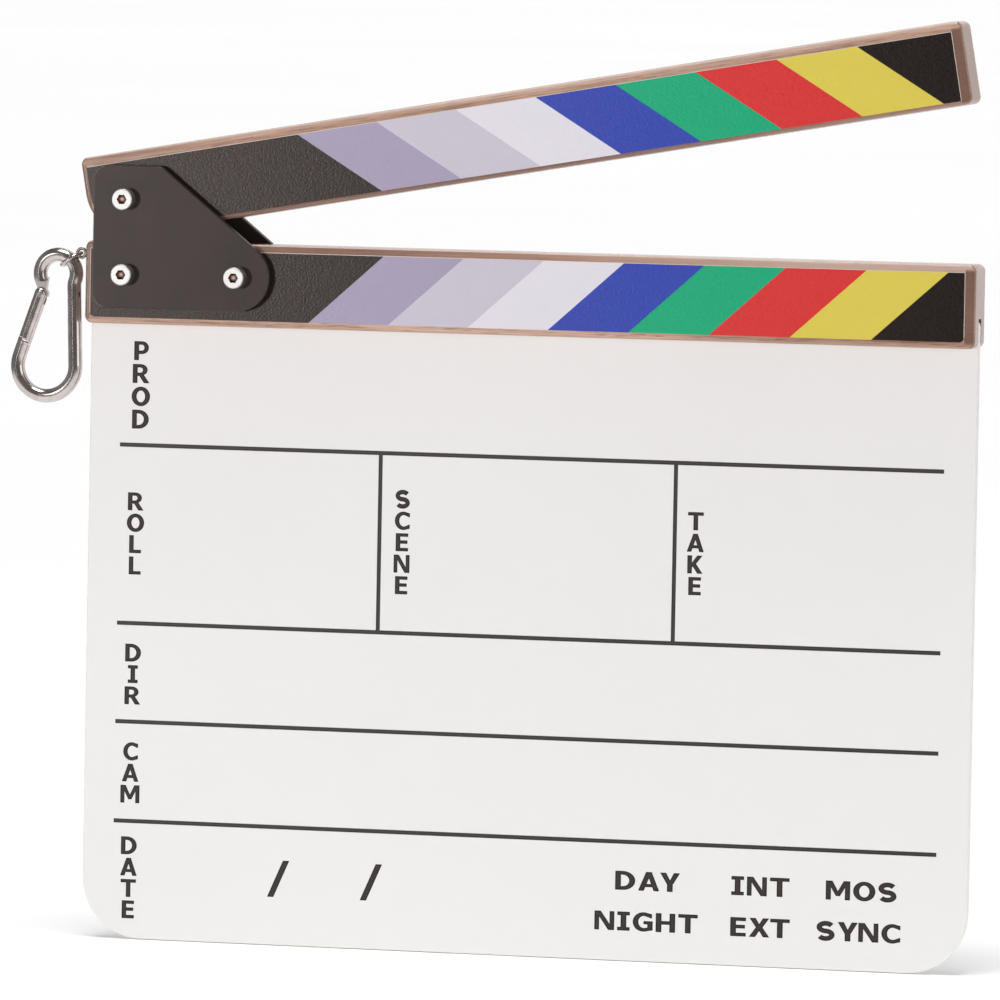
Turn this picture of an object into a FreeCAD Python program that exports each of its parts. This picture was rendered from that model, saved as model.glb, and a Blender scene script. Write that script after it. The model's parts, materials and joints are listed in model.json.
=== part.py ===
import FreeCAD, Part
import math
import os

# A clapperboard: a slate glued into a groove of the lower stick, an upper stick that swings
# between two hinge plates, and a snap hook that hangs on a ring from the hinge end.
# Millimetres. X runs along the board, Y from its front to its back, Z up.
# The origin is the middle of the slate's bottom edge. The upper stick is modelled open.

# Sticks
stick_length = 300.0
stick_height = 27.0
stick_thickness = 13.0
stick_corner_radius = 2.4
stick_edge_radius = 1.0
heel_radius = 15.0
side_clearance = 0.3
open_angle = 9.9

# Slate and the groove that holds it
slate_drop = 201.6
slate_thickness = 3.0
slate_end_gap = 1.0
slate_corner_radius = 20.0
slate_edge_chamfer = 0.25
groove_front_wall = 4.8
groove_depth = 9.5
groove_end_clearance = 0.2
groove_side_clearance = 0.4

# Ruled lines cut into the slate, by their height above its bottom edge
rule_width = 1.2
rule_depth = 0.2
rule_inset = 10.4
low_rule_height = 38.6
middle_rule_height = 71.2
high_rule_height = 103.5
top_rule_height = 161.9
columns = 3

# Striped films on the fronts of the sticks
label_thickness = 0.25
label_left_margin = 1.8
label_right_margin = 3.4
label_height = 22.5
label_corner_radius = 0.5
label_foot_radius = 1.8
lower_label_rise = 2.1
upper_label_rise = 1.4

# Hinge: two plates round the sticks and the screws through them
pivot_inset = 14.5
pivot_rise = 13.8
pivot_height = 11.5
plate_screw_drop = 10.8
plate_screw_spacing = 38.5
plate_margin = 11.0
plate_thickness = 3.0
plate_slope = 38.9
plate_corner_radius = 5.0
plate_shoulder_radius = 4.0
plate_edge_chamfer = 0.35
rear_plate_reach = 2.4
fit_clearance = 0.05

# Socket screws and lock nuts
screw_diameter = 4.0
screw_head_diameter = 7.0
screw_head_height = 4.0
screw_head_radius = 0.4
screw_projection = 0.75
socket_width = 3.0
socket_depth = 2.2
nut_width = 7.0
nut_height = 5.0
nut_collar_height = 1.6
nut_chamfer = 0.45

# Screw eye in the hinge end of the lower stick, and the ring on it
eye_drop = 4.5
eye_neck = 1.45
eye_radius = 1.45
eye_wire = 1.0
eye_shank_length = 10.0
eye_point_length = 2.0
ring_radius = 3.9
ring_wire = 1.25
ring_angle = 32.5
hang_gap = 0.3

# Snap hook, seen from the front: a small eye, a straight shank, a wide bow and a nose
hook_wire = 4.6
hook_lean = 1.7
hook_pull_angle = 65.0
hook_eye_radius = 6.2
hook_eye_end_angle = 211.0
hook_shank_offset = 5.4
hook_waist_radius = 5.0
hook_bow_radius = 9.9
hook_bow_drop = 30.2

# Gate of the snap hook, measured along its own axis from the rivet
rivet_left = 5.98
rivet_drop = 6.54
rivet_diameter = 1.5
rivet_head_diameter = 2.2
rivet_head_height = 0.5
gate_length = 17.0
gate_width = 4.2
gate_edge_radius = 1.6
gate_lap = 1.6
gate_lap_offset = 0.5
nose_gap = 0.3
lip_gap = 0.2
tongue_drop = 2.5
tongue_thickness = 1.6
tongue_width = 3.2
tongue_clearance = 0.1
fork_depth = 3.1
cam_radius = 1.9
cam_offset = 0.6
cam_direction = 110.0
plunger_diameter = 1.5
plunger_length = 3.0
plunger_gap = 0.03
spring_wire = 0.25
spring_turns = 9
spring_pitch = 0.72
spring_clearance = 0.1

# Places worked out from the sizes above
slate_width = stick_length - slate_end_gap
slate_right = slate_width / 2
slate_front = -slate_thickness / 2
stick_left = slate_right - stick_length
stick_front = slate_front - groove_front_wall
stick_back = stick_front + stick_thickness
stick_bottom = slate_drop
stick_top = stick_bottom + stick_height
groove_top = stick_bottom + groove_depth
label_length = stick_length - label_left_margin - label_right_margin

pivot_x = stick_left + pivot_inset
pivot_z = stick_top + pivot_rise
plate_screw_z = stick_top - plate_screw_drop
right_screw_x = pivot_x + plate_screw_spacing
front_plate_back = stick_front - label_thickness
front_plate_front = front_plate_back - plate_thickness
rear_plate_back = stick_back + plate_thickness
screw_length = rear_plate_back - front_plate_front + nut_height + screw_projection
upper_front = stick_front + side_clearance
upper_thickness = stick_thickness - 2 * side_clearance
upper_bottom = pivot_z - pivot_height

y_axis = FreeCAD.Vector(0, 1, 0)
pivot = FreeCAD.Vector(pivot_x, 0, pivot_z)
middle_y = stick_front + stick_thickness / 2


def direction(degrees):
    """Unit vector in the plane of the board, at an angle from +X towards +Z."""
    angle = math.radians(degrees)
    return FreeCAD.Vector(math.cos(angle), 0, math.sin(angle))


ring_direction = direction(180 + ring_angle)
eye_hole_radius = eye_radius - eye_wire / 2
eye_reach = eye_neck + eye_radius + eye_wire / 2
eye_centre = FreeCAD.Vector(stick_left - eye_reach, middle_y, stick_top - eye_drop)
ring_pivot = eye_centre + ring_direction * (eye_hole_radius - ring_wire / 2 - hang_gap)
ring_centre = ring_pivot + ring_direction * ring_radius
hook_pivot = ring_pivot + ring_direction * (2 * ring_radius)
hook_pull = direction(180 + hook_pull_angle)
hook_centre = hook_pivot + hook_pull * (hook_eye_radius - hook_wire / 2 - ring_wire / 2 - hang_gap)


def rounded_outline(corners, y):
    """Closed wire at depth y through (x, z, radius) corners, each rounded by a tangent arc."""
    points = [FreeCAD.Vector(x, y, z) for x, z, radius in corners]
    starts, ends, edges = [], [], []
    for index, (x, z, radius) in enumerate(corners):
        corner = points[index]
        back = (points[index - 1] - corner).normalize()
        ahead = (points[(index + 1) % len(points)] - corner).normalize()
        half = back.getAngle(ahead) / 2
        bisector = (back + ahead).normalize()
        start = corner + back * (radius / math.tan(half))
        end = corner + ahead * (radius / math.tan(half))
        middle = corner + bisector * (radius / math.sin(half) - radius)
        edges.append(Part.Arc(start, middle, end).toShape())
        starts.append(start)
        ends.append(end)
    for index, end in enumerate(ends):
        edges.append(Part.LineSegment(end, starts[(index + 1) % len(starts)]).toShape())
    return Part.Wire(Part.__sortEdges__(edges))


def plate_solid(corners, y, thickness):
    """Flat piece with a rounded outline, from depth y towards the back."""
    face = Part.Face(rounded_outline(corners, y))
    return face.extrude(FreeCAD.Vector(0, thickness, 0))


def outline_edges(shape, depths):
    """Edges that lie wholly on the front or back face of a flat piece."""
    found = []
    for edge in shape.Edges:
        for depth in depths:
            if abs(edge.BoundBox.YMin - depth) < 1e-6 and abs(edge.BoundBox.YMax - depth) < 1e-6:
                found.append(edge)
    return found


def box_corners(left, bottom, right, top, radius):
    """Four equally rounded corners of an upright rectangle."""
    return [(left, bottom, radius), (right, bottom, radius), (right, top, radius), (left, top, radius)]


def rod(diameter, x, z, start, end):
    """Cylinder along Y between two depths."""
    return Part.makeCylinder(diameter / 2, end - start, FreeCAD.Vector(x, start, z), y_axis)


def screw_hole(x, z, start, end):
    """Clearance hole for a screw, along Y between two depths."""
    return rod(screw_diameter + 2 * fit_clearance, x, z, start, end)


def hexagon(width, x, z, start, end):
    """Six-sided prism along Y, given by its width across flats."""
    reach = width / math.sqrt(3)
    points = []
    for step in range(7):
        angle = math.radians(60 * step)
        points.append(FreeCAD.Vector(x + reach * math.cos(angle), start, z + reach * math.sin(angle)))
    return Part.Face(Part.makePolygon(points)).extrude(FreeCAD.Vector(0, end - start, 0))


def revolve_along_y(profile, x, z):
    """Solid turned about a line along Y, from (radius, depth) points."""
    points = [FreeCAD.Vector(x + radius, depth, z) for radius, depth in profile]
    face = Part.Face(Part.makePolygon(points + points[:1]))
    return face.revolve(FreeCAD.Vector(x, 0, z), y_axis, 360)


def make_slate():
    corners = [
        (-slate_right, 0, slate_corner_radius),
        (slate_right, 0, slate_corner_radius),
        (slate_right, groove_top - groove_end_clearance, stick_corner_radius),
        (-slate_right, groove_top - groove_end_clearance, stick_corner_radius),
    ]
    slate = plate_solid(corners, slate_front, slate_thickness)
    slate = slate.makeChamfer(slate_edge_chamfer, outline_edges(slate, (slate_front, -slate_front)))
    rule_length = slate_width - 2 * rule_inset
    for height in (low_rule_height, middle_rule_height, high_rule_height, top_rule_height):
        corner = FreeCAD.Vector(-rule_length / 2, slate_front, height - rule_width / 2)
        slate = slate.cut(Part.makeBox(rule_length, rule_depth, rule_width, corner))
    for column in range(1, columns):
        x = -slate_right + slate_width * column / columns - rule_width / 2
        corner = FreeCAD.Vector(x, slate_front, high_rule_height)
        rule = Part.makeBox(rule_width, rule_depth, top_rule_height - high_rule_height, corner)
        slate = slate.cut(rule)
    return slate


def make_lower_stick():
    corners = box_corners(stick_left, stick_bottom, slate_right, stick_top, stick_corner_radius)
    stick = plate_solid(corners, stick_front, stick_thickness)
    stick = stick.makeFillet(stick_edge_radius, outline_edges(stick, (stick_front, stick_back)))
    groove_start = FreeCAD.Vector(stick_left, slate_front, stick_bottom)
    groove = Part.makeBox(stick_length, slate_thickness + groove_side_clearance, groove_depth, groove_start)
    stick = stick.cut(groove)
    for x in (pivot_x, right_screw_x):
        stick = stick.cut(screw_hole(x, plate_screw_z, stick_front, stick_back))
    eye_hole = Part.makeCylinder(
        eye_wire / 2 + fit_clearance,
        eye_shank_length + fit_clearance,
        FreeCAD.Vector(stick_left, middle_y, eye_centre.z),
        FreeCAD.Vector(1, 0, 0),
    )
    return stick.cut(eye_hole)


def open_upper(shape):
    """Turns a piece of the upper stick from closed to the modelled opening."""
    shape.rotate(pivot, y_axis, -open_angle)
    return shape


def make_upper_stick():
    upper_top = upper_bottom + stick_height
    upper_back = upper_front + upper_thickness
    corners = box_corners(stick_left, upper_bottom, slate_right, upper_top, stick_corner_radius)
    corners[0] = (stick_left, upper_bottom, heel_radius)
    stick = plate_solid(corners, upper_front, upper_thickness)
    stick = stick.makeFillet(stick_edge_radius, outline_edges(stick, (upper_front, upper_back)))
    return open_upper(stick.cut(screw_hole(pivot_x, pivot_z, upper_front, upper_back)))


def label_corners(bottom):
    left = stick_left + label_left_margin
    return box_corners(left, bottom, left + label_length, bottom + label_height, label_corner_radius)


def make_lower_label():
    corners = label_corners(stick_bottom + lower_label_rise)
    corners[:2] = [(x, z, label_foot_radius) for x, z, radius in corners[:2]]
    label = plate_solid(corners, front_plate_back, label_thickness)
    for x in (pivot_x, right_screw_x):
        label = label.cut(screw_hole(x, plate_screw_z, front_plate_back, stick_front))
    return label


def make_upper_label():
    label_front = upper_front - label_thickness
    corners = label_corners(upper_bottom + upper_label_rise)
    corners[0] = (corners[0][0], corners[0][1], heel_radius - label_left_margin)
    label = plate_solid(corners, label_front, label_thickness)
    return open_upper(label.cut(screw_hole(pivot_x, pivot_z, label_front, upper_front)))


def make_hinge_plate(front, reach):
    """Hinge plate from a depth towards the back, whose sloping side lies further right by reach."""
    left = pivot_x - plate_margin
    bottom = plate_screw_z - plate_margin
    top = pivot_z + plate_margin
    slope = math.radians(plate_slope)
    toe = right_screw_x + reach + plate_margin / math.tan(slope / 2)
    shoulder = toe - (top - bottom) / math.tan(slope)
    corners = [
        (left, bottom, plate_corner_radius),
        (toe, bottom, plate_margin),
        (shoulder, top, plate_shoulder_radius),
        (left, top, plate_corner_radius),
    ]
    back = front + plate_thickness
    plate = plate_solid(corners, front, plate_thickness)
    plate = plate.makeChamfer(plate_edge_chamfer, outline_edges(plate, (front, back)))
    for x, z in screw_places.values():
        plate = plate.cut(screw_hole(x, z, front, back))
    return plate


def make_screw(x, z):
    head_front = front_plate_front - screw_head_height
    head = rod(screw_head_diameter, x, z, head_front, front_plate_front)
    head = head.makeFillet(screw_head_radius, outline_edges(head, (head_front,)))
    head = head.cut(hexagon(socket_width, x, z, head_front, head_front + socket_depth))
    shank = rod(screw_diameter, x, z, front_plate_front, front_plate_front + screw_length)
    return head.fuse(shank).removeSplitter()


def make_nut(x, z):
    seat = rear_plate_back
    collar_start = seat + nut_height - nut_collar_height
    half = nut_width / 2
    corner = nut_width / math.sqrt(3)
    blank = revolve_along_y(
        [
            (0, seat),
            (half, seat),
            (corner, seat + nut_chamfer),
            (corner, collar_start - nut_chamfer),
            (half, collar_start),
            (half - nut_chamfer, collar_start),
            (half - nut_chamfer, seat + nut_height - nut_chamfer),
            (half - 2 * nut_chamfer, seat + nut_height),
            (0, seat + nut_height),
        ],
        x,
        z,
    )
    nut = blank.common(hexagon(nut_width, x, z, seat, seat + nut_height))
    return nut.cut(screw_hole(x, z, seat, seat + nut_height))


def make_screw_eye():
    loop = Part.makeTorus(eye_radius, eye_wire / 2, eye_centre, y_axis)
    shank_start = eye_centre + FreeCAD.Vector(eye_radius, 0, 0)
    straight = eye_neck + eye_wire / 2 + eye_shank_length - eye_point_length
    along = FreeCAD.Vector(1, 0, 0)
    shank = Part.makeCylinder(eye_wire / 2, straight, shank_start, along)
    point = Part.makeCone(eye_wire / 2, 0, eye_point_length, shank_start + along * straight, along)
    return loop.fuse([shank, point]).removeSplitter()


def make_link_ring():
    across = ring_direction.cross(y_axis)
    return Part.makeTorus(ring_radius, ring_wire / 2, ring_centre, across)


def place_hook(shape):
    """Moves a piece drawn round the snap hook's eye to where it hangs on the ring."""
    shape.rotate(FreeCAD.Vector(), y_axis, -hook_lean)
    shape.translate(hook_centre)
    return shape


def flat(x, z):
    """Point of the snap hook's own plane."""
    return FreeCAD.Vector(x, 0, z)


def polar(centre, radius, degrees):
    """Point at a radius and an angle about a centre."""
    return centre + direction(degrees) * radius


def arc(centre, radius, start, end):
    """Arc of the hook's wire between two angles about a centre."""
    points = [polar(centre, radius, start + (end - start) * share) for share in (0, 0.5, 1)]
    return Part.Arc(*points).toShape()


# The snap hook's plane: the gate's axis runs from the rivet and touches the bow
rivet_place = flat(-rivet_left, -rivet_drop)
bow_centre = flat(hook_shank_offset - hook_bow_radius, -hook_bow_drop)
to_bow = bow_centre - rivet_place
bow_tangent = math.degrees(math.asin(hook_bow_radius / to_bow.Length))
gate_heading = math.degrees(math.atan2(to_bow.z, to_bow.x)) - bow_tangent
gate_along = direction(gate_heading)
gate_inward = direction(gate_heading + 90)
nose_base = rivet_place + gate_along * math.sqrt(to_bow.Length ** 2 - hook_bow_radius ** 2)
nose_end = rivet_place + gate_along * (gate_length - gate_lap + nose_gap)
cam_centre = polar(rivet_place, cam_offset, gate_heading + cam_direction)
plunger_radius = plunger_diameter / 2
cam_side = cam_offset * math.sin(math.radians(cam_direction))
cam_along = cam_offset * math.cos(math.radians(cam_direction))
plunger_start = cam_along + math.sqrt((cam_radius + plunger_radius + plunger_gap) ** 2 - cam_side ** 2)
spring_start = plunger_start + plunger_length
spring_length = spring_turns * spring_pitch + spring_wire
bore_end = spring_start + spring_length + 2 * spring_clearance


def gate_block(start, end, inner, outer, depth):
    """Block in the gate's own axes: along the gate, from its outer to its inner side, and in depth."""
    corners = []
    for along, side in ((start, outer), (end, outer), (end, inner), (start, inner), (start, outer)):
        corners.append(rivet_place + gate_along * along + gate_inward * side - y_axis * (depth / 2))
    return Part.Face(Part.makePolygon(corners)).extrude(y_axis * depth)


def hook_path():
    """Centre line of the hook's wire, from the flat end beside the rivet round to the nose."""
    eye = flat(0, 0)
    waist_x = hook_shank_offset + hook_waist_radius
    waist_drop = math.sqrt((hook_eye_radius + hook_waist_radius) ** 2 - waist_x ** 2)
    waist_centre = flat(waist_x, -waist_drop)
    waist_angle = -math.degrees(math.atan2(waist_drop, waist_x))
    shank_top = flat(hook_shank_offset, -waist_drop)
    shank_bottom = flat(hook_shank_offset, -hook_bow_drop)
    return Part.Wire(
        [
            arc(eye, hook_eye_radius, hook_eye_end_angle, waist_angle),
            arc(waist_centre, hook_waist_radius, 180 + waist_angle, 180),
            Part.LineSegment(shank_top, shank_bottom).toShape(),
            arc(bow_centre, hook_bow_radius, 0, gate_heading - 90),
            Part.LineSegment(nose_base, nose_end).toShape(),
        ]
    )


def rivet_hole():
    """Hole for the rivet through the gate's fork and the tongue between."""
    diameter = rivet_diameter + 2 * fit_clearance
    return rod(diameter, rivet_place.x, rivet_place.z, -hook_wire / 2, hook_wire / 2)


def make_hook_body():
    start = polar(flat(0, 0), hook_eye_radius, hook_eye_end_angle)
    section = Part.Wire(Part.makeCircle(hook_wire / 2, start, direction(hook_eye_end_angle - 90)))
    body = hook_path().makePipeShell([section], True, False)
    lap_start = gate_length - 2 * gate_lap
    lap_end = gate_length + nose_gap
    step = -(gate_lap_offset + lip_gap)
    body = body.cut(gate_block(lap_start, lap_end, hook_wire, step, 2 * hook_wire))
    for depth in (tongue_thickness / 2, -tongue_thickness / 2 - hook_wire):
        corner = FreeCAD.Vector(-hook_eye_radius - hook_wire, depth, -tongue_drop - hook_wire)
        body = body.cut(Part.makeBox(2 * hook_wire, hook_wire, hook_wire, corner))
    strap_along = (start - rivet_place).normalize()
    strap_side = FreeCAD.Vector(strap_along.z, 0, -strap_along.x) * (tongue_width / 2)
    strap_end = start + strap_along * (hook_wire / 2)
    half_depth = y_axis * (tongue_thickness / 2)
    corners = [
        rivet_place - strap_side,
        rivet_place + strap_side,
        strap_end + strap_side,
        strap_end - strap_side,
    ]
    corners = [corner - half_depth for corner in corners + corners[:1]]
    strap = Part.Face(Part.makePolygon(corners)).extrude(y_axis * tongue_thickness)
    cam = Part.makeCylinder(cam_radius, tongue_thickness, cam_centre - half_depth, y_axis)
    body = body.fuse([strap, cam]).removeSplitter()
    return place_hook(body.cut(rivet_hole()))


def make_gate():
    half = gate_width / 2
    gate = gate_block(0, gate_length, half, -half, hook_wire)
    end = rod(gate_width, rivet_place.x, rivet_place.z, -hook_wire / 2, hook_wire / 2)
    gate = gate.fuse(end).removeSplitter()
    gate = gate.makeFillet(gate_edge_radius, outline_edges(gate, (-hook_wire / 2, hook_wire / 2)))
    lap_start = gate_length - gate_lap
    lap_end = gate_length + gate_lap
    gate = gate.cut(gate_block(lap_start, lap_end, -gate_lap_offset, -gate_width, 2 * hook_wire))
    slot_width = tongue_thickness + 2 * tongue_clearance
    gate = gate.cut(gate_block(-gate_width, fork_depth, gate_width, -gate_width, slot_width))
    bore = Part.makeCylinder(plunger_radius + fit_clearance, bore_end, rivet_place, gate_along)
    return place_hook(gate.cut(bore).cut(rivet_hole()))


def make_rivet():
    face = hook_wire / 2 + fit_clearance
    radius = rivet_diameter / 2
    head = rivet_head_diameter / 2
    head_front = -face - rivet_head_height
    profile = [(0, head_front), (head - rivet_head_height, head_front), (head, -face), (radius, -face)]
    mirrored = [(reach, -depth) for reach, depth in reversed(profile)]
    return place_hook(revolve_along_y(profile + mirrored, rivet_place.x, rivet_place.z))


def make_plunger():
    start = rivet_place + gate_along * plunger_start
    pin = Part.makeCylinder(plunger_radius, plunger_length, start, gate_along)
    return place_hook(pin.fuse(Part.makeSphere(plunger_radius, start)).removeSplitter())


def tangent_arc(start, tangent, end):
    """Arc that leaves start along tangent and reaches end."""
    chord = end - start
    along = FreeCAD.Vector(chord).normalize()
    aside = tangent - along * tangent.dot(along)
    rise = chord.Length / 2 * math.tan(tangent.getAngle(along) / 2)
    return Part.Arc(start, start + chord * 0.5 + aside.normalize() * rise, end).toShape()


def biarc(start, start_tangent, end, end_tangent):
    """Two arcs that join two points along the given tangents."""
    span = end - start
    both = start_tangent + end_tangent
    spread = 2 * (1 - start_tangent.dot(end_tangent))
    reach = (-span.dot(both) + math.sqrt(span.dot(both) ** 2 + spread * span.dot(span))) / spread
    middle = (start + start_tangent * reach + end - end_tangent * reach) * 0.5
    middle_tangent = (end - end_tangent * reach - start - start_tangent * reach).normalize()
    return [tangent_arc(start, start_tangent, middle), tangent_arc(middle, middle_tangent, end)]


def make_spring():
    radius = plunger_radius - spring_wire / 2
    begin = rivet_place + gate_along * (spring_start + spring_clearance + spring_wire / 2)

    def place(turn):
        angle = 2 * math.pi * turn
        outwards = gate_inward * math.cos(angle) + y_axis * math.sin(angle)
        return begin + gate_along * (spring_pitch * turn) + outwards * radius

    def heading(turn):
        angle = 2 * math.pi * turn
        around = (y_axis * math.cos(angle) - gate_inward * math.sin(angle)) * (2 * math.pi * radius)
        return (around + gate_along * spring_pitch).normalize()

    quarters = [step / 4 for step in range(4 * spring_turns + 1)]
    edges = []
    for now, after in zip(quarters, quarters[1:]):
        edges += biarc(place(now), heading(now), place(after), heading(after))
    section = Part.Wire(Part.makeCircle(spring_wire / 2, place(0), heading(0)))
    spring = Part.Wire(edges).makePipeShell([section], True, False)
    samples = 40
    path = [place(step / samples) for step in range(samples * spring_turns + 1)]
    gap = min(
        first.distanceToPoint(second) - spring_wire
        for index, first in enumerate(path)
        for second in path[index + samples // 2:]
    )
    print("spring: least gap between turns %.3f mm" % gap)
    return place_hook(spring)


screw_places = {
    "pivot": (pivot_x, pivot_z),
    "left_plate": (pivot_x, plate_screw_z),
    "right_plate": (right_screw_x, plate_screw_z),
}

nodes = {
    "slate_board": make_slate(),
    "lower_stick": make_lower_stick(),
    "upper_stick": make_upper_stick(),
    "lower_stripe_label": make_lower_label(),
    "upper_stripe_label": make_upper_label(),
    "front_hinge_plate": make_hinge_plate(front_plate_front, 0),
    "rear_hinge_plate": make_hinge_plate(stick_back, rear_plate_reach),
    "screw_eye": make_screw_eye(),
    "link_ring": make_link_ring(),
    "carabiner_body": make_hook_body(),
    "carabiner_gate": make_gate(),
    "gate_rivet": make_rivet(),
    "gate_plunger": make_plunger(),
    "gate_spring": make_spring(),
}
for place_name, (screw_x, screw_z) in screw_places.items():
    nodes[place_name + "_screw"] = make_screw(screw_x, screw_z)
    nodes[place_name + "_lock_nut"] = make_nut(screw_x, screw_z)

os.makedirs("parts", exist_ok=True)
for name, shape in nodes.items():
    shape.exportStep("parts/%s.step" % name)
    print("%s: %d solid, valid %s, %.2f mm3" % (name, len(shape.Solids), shape.isValid(), shape.Volume))
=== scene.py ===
import json
import math

import bmesh
import bpy
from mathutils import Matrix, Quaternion, Vector
from mathutils.geometry import tessellate_polygon


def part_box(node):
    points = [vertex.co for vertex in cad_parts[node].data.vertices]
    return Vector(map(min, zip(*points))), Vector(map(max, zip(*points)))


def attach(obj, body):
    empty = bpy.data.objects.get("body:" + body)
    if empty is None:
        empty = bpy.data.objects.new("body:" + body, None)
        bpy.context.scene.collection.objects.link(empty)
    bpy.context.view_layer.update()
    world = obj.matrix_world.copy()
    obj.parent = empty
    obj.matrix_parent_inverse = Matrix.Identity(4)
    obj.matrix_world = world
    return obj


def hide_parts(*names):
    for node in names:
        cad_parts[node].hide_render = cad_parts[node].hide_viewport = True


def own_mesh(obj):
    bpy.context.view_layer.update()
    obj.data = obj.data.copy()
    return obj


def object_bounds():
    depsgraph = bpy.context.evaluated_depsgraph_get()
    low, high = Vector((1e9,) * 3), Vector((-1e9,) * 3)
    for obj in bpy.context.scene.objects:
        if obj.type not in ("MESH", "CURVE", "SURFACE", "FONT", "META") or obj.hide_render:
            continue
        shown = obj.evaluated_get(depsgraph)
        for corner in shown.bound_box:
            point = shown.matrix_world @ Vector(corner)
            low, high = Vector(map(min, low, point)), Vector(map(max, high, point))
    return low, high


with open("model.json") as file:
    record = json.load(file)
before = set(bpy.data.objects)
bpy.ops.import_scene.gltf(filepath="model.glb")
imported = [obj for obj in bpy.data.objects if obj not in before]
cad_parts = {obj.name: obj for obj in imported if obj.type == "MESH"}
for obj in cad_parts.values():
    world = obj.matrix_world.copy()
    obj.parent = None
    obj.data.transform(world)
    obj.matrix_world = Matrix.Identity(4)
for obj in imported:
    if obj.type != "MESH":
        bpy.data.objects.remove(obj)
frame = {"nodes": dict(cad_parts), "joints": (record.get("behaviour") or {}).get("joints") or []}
cad_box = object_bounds()

# Lengths on the part are in mm, places and sizes in the studio in m, and colours on the screen's scale to 255
MM = 0.001
ORIGIN = (0, 0, 0)
RIGHT, INTO, UP = (1, 0, 0), (0, 1, 0), (0, 0, 1)

HOOK_NODES = ("screw_eye", "link_ring", "carabiner_body", "carabiner_gate", "gate_rivet")
SCREW_NODES = ("pivot_screw", "left_plate_screw", "right_plate_screw")
NUT_NODES = ("pivot_lock_nut", "left_plate_lock_nut", "right_plate_lock_nut")

# The upper stick stands open by this angle about the pivot screw, whose height is from the stick's lower edge
OPEN_ANGLE = 9.9
PIVOT_HEIGHT = 11.5
# The films' distance from the sticks' left ends, and the upper film's rise above its stick's lower edge
LABEL_MARGIN = 1.8
UPPER_LABEL_RISE = 1.4
FILM_BORDER = 0.2

# Stripes of each film: start of the first colour on the lower edge, width, and lean for each unit of rise
LOWER_STRIPES = (74.97, 27.0, 25.3 / 22.4)
UPPER_STRIPES = (98.6, 27.17, -25.8 / 22.5)
STRIPE_COLOURS = (
    (33, 26, 23),
    (151, 142, 166),
    (184, 178, 191),
    (207, 203, 211),
    (41, 63, 160),
    (0, 157, 111),
    (200, 45, 46),
    (204, 187, 75),
    (21, 15, 13),
)
# A colour ramp has this many even steps, and a stripe takes a whole number of them
RAMP_STEPS = 256
STRIPE_STEPS = 28

# Wood of the sticks: end grain, painted light and shade along the stick above and below its film, and how far it
# takes them on.
# The tones are a painted shade near the hinge that lightens towards the far end, and below the upper film a
# painted shade of its downward-facing edge.
# Above the film this goes from the first share to the second over the given heights; on the upper stick this makes
# a painted highlight towards the top edge.
LOWER_END_GRAIN = (165, 144, 136)
# The upper stick's end grain is darker than the lower's: a painted shade
UPPER_END_GRAIN_SHADED = (134, 107, 93)
LOWER_TOP_LIGHT_AND_SHADE = ((0.32, (116, 84, 71)), (0.55, (160, 124, 108)), (0.85, (190, 164, 152)))
UPPER_TOP_LIGHT_AND_SHADE = ((0.02, (140, 106, 91)), (0.14, (188, 156, 140)), (0.4, (214, 190, 178)))
UPPER_FOOT_SHADE = ((0.3, (112, 82, 69)), (0.7, (118, 88, 76)), (0.97, (148, 116, 102)))
LOWER_TOP_SHARES = (0.75, 0.75)
UPPER_TOP_SHARES = (0.0, 0.6)
FOOT_SHADE_SHARE = 0.75
TOP_HEIGHTS = (1.0, 2.8)
TOP_RANGE = 4.0
# The painted shade on the stick beyond either end of a film fades out over 1 mm, up to this distance above and
# below it
END_FADE = 1.2
LEFT_END_SHADE_SHARE = 0.85

# Ruled lines on the slate, painted as far as this depth behind its front
RULE_PAINT = 1.36
RULE_PAINT_DEPTH = 0.3
RULE_INSET = 10.4
RULE_HEIGHTS = (38.6, 71.2, 103.5, 161.9)
COLUMNS = 3

# Field words on the slate: word, middle, height of the top letter's middle, cap height, pitch
STACKED_WORDS = (
    ("PROD", -132.2, 192.75, 6.2, 7.47),
    ("ROLL", -133.3, 143.4, 5.85, 7.0),
    ("DIR", -133.35, 93.8, 5.85, 7.0),
    ("CAM", -133.65, 61.45, 5.85, 7.0),
    ("DATE", -133.7, 30.55, 5.85, 7.0),
    ("SCENE", -42.15, 147.1, 5.85, 7.0),
    ("TAKE", 56.8, 143.25, 5.85, 7.0),
)
# Words in a line: word, left edge, height of the middle
LINE_WORDS = (
    ("DAY", 32.05, 26.05),
    ("NIGHT", 25.3, 12.85),
    ("INT", 71.05, 25.95),
    ("EXT", 70.95, 12.65),
    ("MOS", 102.6, 25.8),
    ("SYNC", 99.8, 12.55),
)
LINE_CAP = 6.15
LINE_STRETCH = 1.18
# Room at each side of a letter in a line, and of one with open sides
LETTER_BEARING = 0.5
OPEN_BEARING = 0.1
OPEN_LETTERS = "AYTX"
SLASHES = ((-82.3, 21.7), (-50.65, 21.85))
SLASH_SIZE = (7.4, 12.0)
# Strokes of the letters, as shares of the cap height: upright and level
STEM = 0.265
BAR = 0.19
# Paint of the letters: rise over the slate of its dark rim and lighter core, depth, and width of the rim
PAINT_RISE = 0.025
CORE_RISE = 1.4 * PAINT_RISE
PAINT_DEPTH = 0.05
PAINT_RIM = 0.33
RIM_COLOUR = (22, 17, 16)
CORE_COLOUR = (54, 46, 44)

# Camera: place, target, roll in degrees, and focal length in sensor widths
CAMERA_PLACE = (1.12248, -3.84733, 0.36173)
CAMERA_TARGET = (-0.00964, 0, 0.14786)
CAMERA_ROLL = 1.059
CAMERA_FOCUS = 12.384
SENSOR_WIDTH = 36.0
CAMERA_REACH = 200

FLOOR_REACH = 60.0
FLOOR_GAP = 0.0002

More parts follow.
